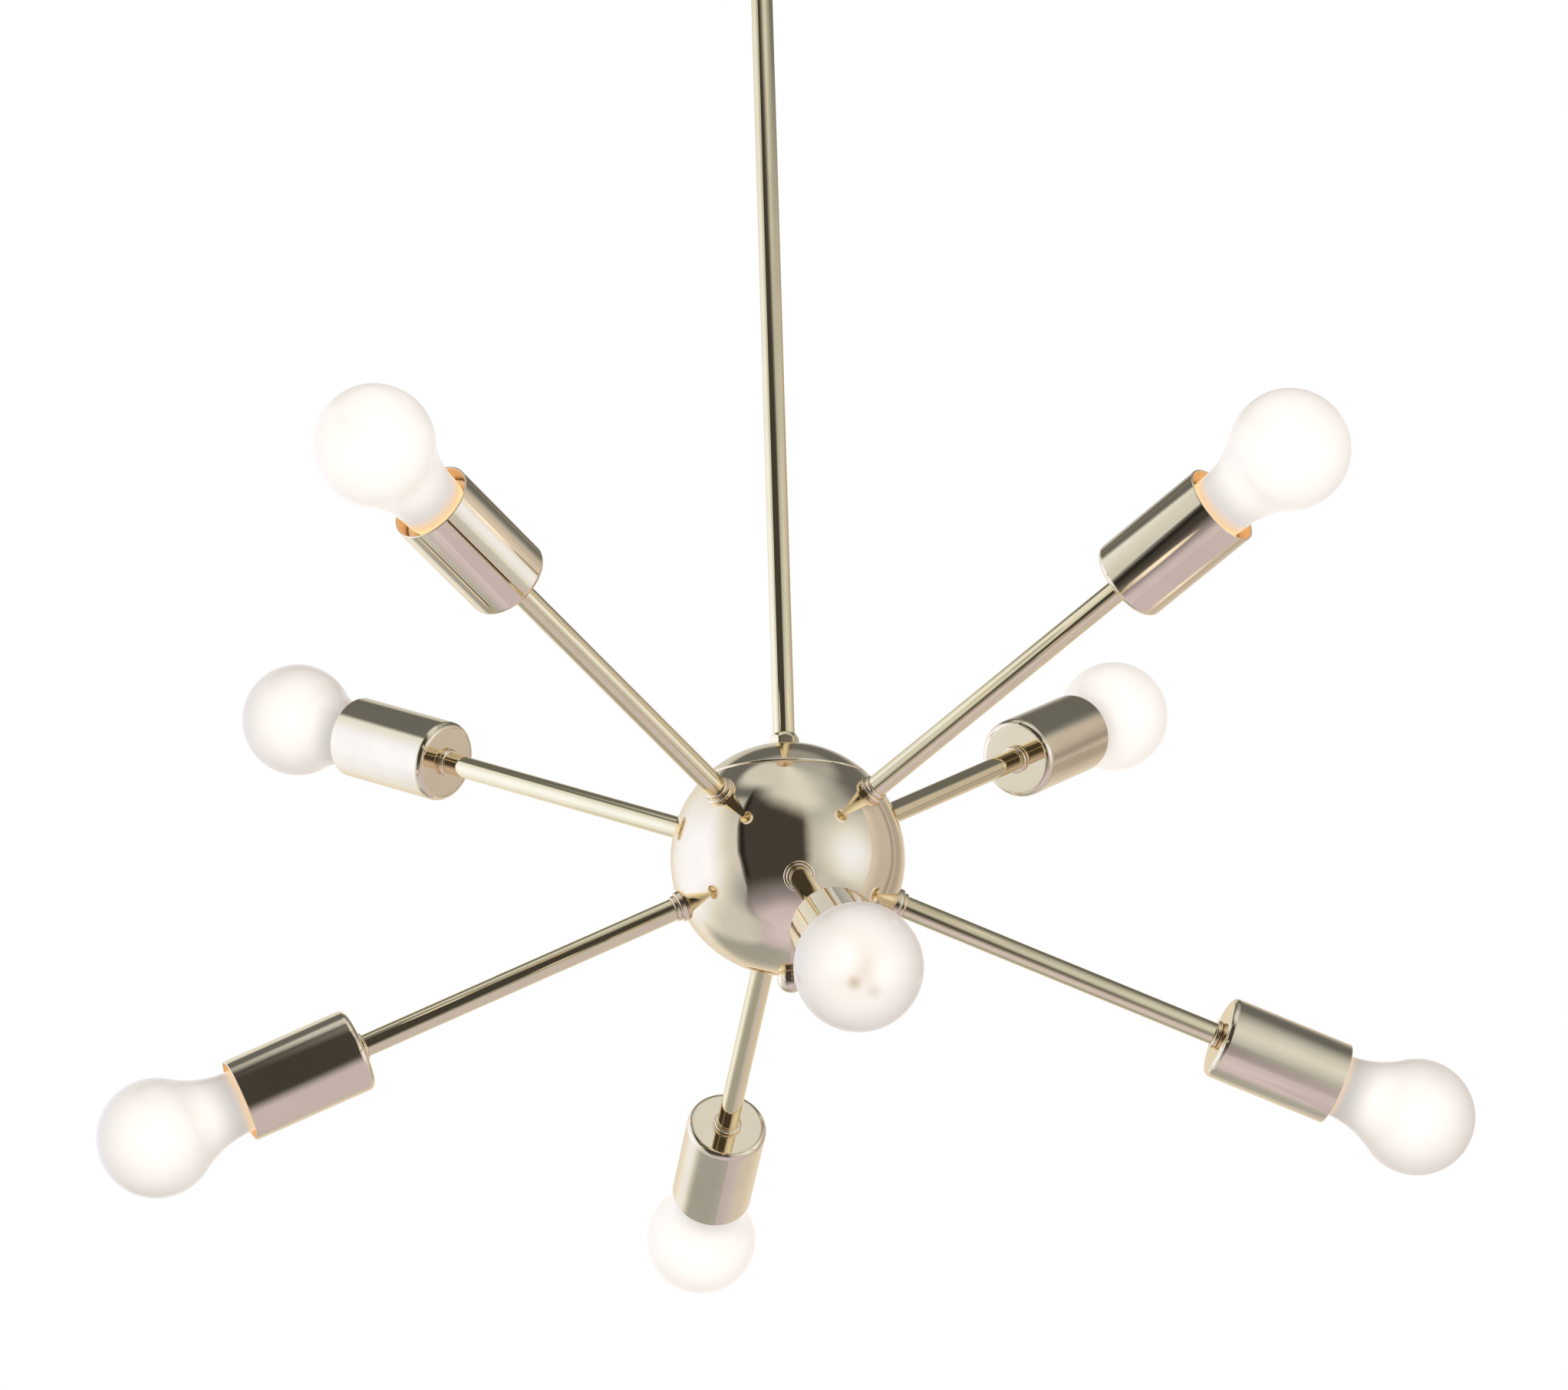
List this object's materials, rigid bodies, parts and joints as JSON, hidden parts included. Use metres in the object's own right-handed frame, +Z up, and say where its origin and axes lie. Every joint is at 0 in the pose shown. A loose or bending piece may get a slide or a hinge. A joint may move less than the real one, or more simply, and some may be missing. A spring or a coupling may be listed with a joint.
{
  "type": "sputnik chandelier",
  "caption": "Sputnik chandelier: a polished brass ball on a rigid stem, with arms that end in open cups holding frosted globe lamps, hung from a canopy by a tilting swivel.",
  "frame": {"origin": "on the ceiling, at the centre of the mounting strap's top face", "axes": "+Z up, +X along the mounting strap and the knuckle's pivot"},
  "size_m": [0.7098, 0.7128, 0.8669],
  "materials": {
    "polished_brass": "polished, lacquered pale brass",
    "plated_steel": "zinc plated",
    "holder_ceramic": "cream glaze",
    "contact_brass": "plain",
    "block_plastic": "moulded",
    "lead_insulation": "smooth",
    "frosted_glass": "frosted, lit",
    "lamp_base": "nickel plated"
  },
  "bodies": {
    "ceiling_mount": {"mounting_strap": "plated_steel", "canopy": "polished_brass", "canopy_screws": "plated_steel", "canopy_cap_nuts": "polished_brass", "hanger_nipple": "plated_steel", "hanger_nuts": "plated_steel", "swivel_housing": "polished_brass", "swivel_cable": "lead_insulation"},
    "swivel": {"swivel_fork": "polished_brass"},
    "pendant": {"swivel_knuckle": "polished_brass", "knuckle_screws": "polished_brass", "upper_stem": "polished_brass", "stem_coupler": "plated_steel", "lower_stem": "polished_brass", "stem_nut": "polished_brass", "ball_cap": "polished_brass", "ball_shell": "polished_brass", "tie_rod": "plated_steel", "finial": "polished_brass", "junction_block": "block_plastic", "lock_nuts": "plated_steel", "arm_collars": "polished_brass", "arm_nipples": "plated_steel", "cup_rings": "polished_brass", "lampholders": "holder_ceramic", "screw_shells": "contact_brass", "centre_contacts": "contact_brass", "inner_leads": "lead_insulation", "arm_1": "polished_brass", "arm_2": "polished_brass", "arm_3": "polished_brass", "arm_4": "polished_brass", "arm_5": "polished_brass", "arm_6": "polished_brass", "arm_7": "polished_brass", "arm_8": "polished_brass", "cup_1": "polished_brass", "cup_2": "polished_brass", "cup_3": "polished_brass", "cup_4": "polished_brass", "cup_5": "polished_brass", "cup_6": "polished_brass", "cup_7": "polished_brass", "cup_8": "polished_brass"},
    "bulb_1": {"bulb_glass_1": "frosted_glass", "bulb_base_1": "lamp_base"},
    "bulb_2": {"bulb_glass_2": "frosted_glass", "bulb_base_2": "lamp_base"},
    "bulb_3": {"bulb_glass_3": "frosted_glass", "bulb_base_3": "lamp_base"},
    "bulb_4": {"bulb_glass_4": "frosted_glass", "bulb_base_4": "lamp_base"},
    "bulb_5": {"bulb_glass_5": "frosted_glass", "bulb_base_5": "lamp_base"},
    "bulb_6": {"bulb_glass_6": "frosted_glass", "bulb_base_6": "lamp_base"},
    "bulb_7": {"bulb_glass_7": "frosted_glass", "bulb_base_7": "lamp_base"},
    "bulb_8": {"bulb_glass_8": "frosted_glass", "bulb_base_8": "lamp_base"}
  },
  "joints": [
    {"name": "swivel_turn", "type": "hinge", "parent": "ceiling_mount", "child": "swivel", "pos_m": [0, 0, -0.0554], "axis": [0, 0, 1], "range_deg": [-170, 170]},
    {"name": "knuckle_tilt", "type": "hinge", "parent": "swivel", "child": "pendant", "pos_m": [0, 0, -0.0554], "axis": [1, 0, 0], "range_deg": [-45, 45]},
    {"name": "bulb_1_out", "type": "slide", "parent": "pendant", "child": "bulb_1", "axis": [-0.649, -0.6378, 0.4147], "range_m": [0, 0.028]},
    {"name": "bulb_2_out", "type": "slide", "parent": "pendant", "child": "bulb_2", "axis": [0.6239, -0.6574, 0.4226], "range_m": [0, 0.028]},
    {"name": "bulb_3_out", "type": "slide", "parent": "pendant", "child": "bulb_3", "axis": [0.623, 0.6681, 0.4067], "range_m": [0, 0.028]},
    {"name": "bulb_4_out", "type": "slide", "parent": "pendant", "child": "bulb_4", "axis": [-0.659, 0.6476, 0.3827], "range_m": [0, 0.028]},
    {"name": "bulb_5_out", "type": "slide", "parent": "pendant", "child": "bulb_5", "axis": [-0.913, 0.0319, -0.4067], "range_m": [0, 0.028]},
    {"name": "bulb_6_out", "type": "slide", "parent": "pendant", "child": "bulb_6", "axis": [-0.0484, -0.9226, -0.3827], "range_m": [0, 0.028]},
    {"name": "bulb_7_out", "type": "slide", "parent": "pendant", "child": "bulb_7", "axis": [0.9282, 0.0649, -0.3665], "range_m": [0, 0.028]},
    {"name": "bulb_8_out", "type": "slide", "parent": "pendant", "child": "bulb_8", "axis": [-0.0162, 0.927, -0.3746], "range_m": [0, 0.028]}
  ]
}
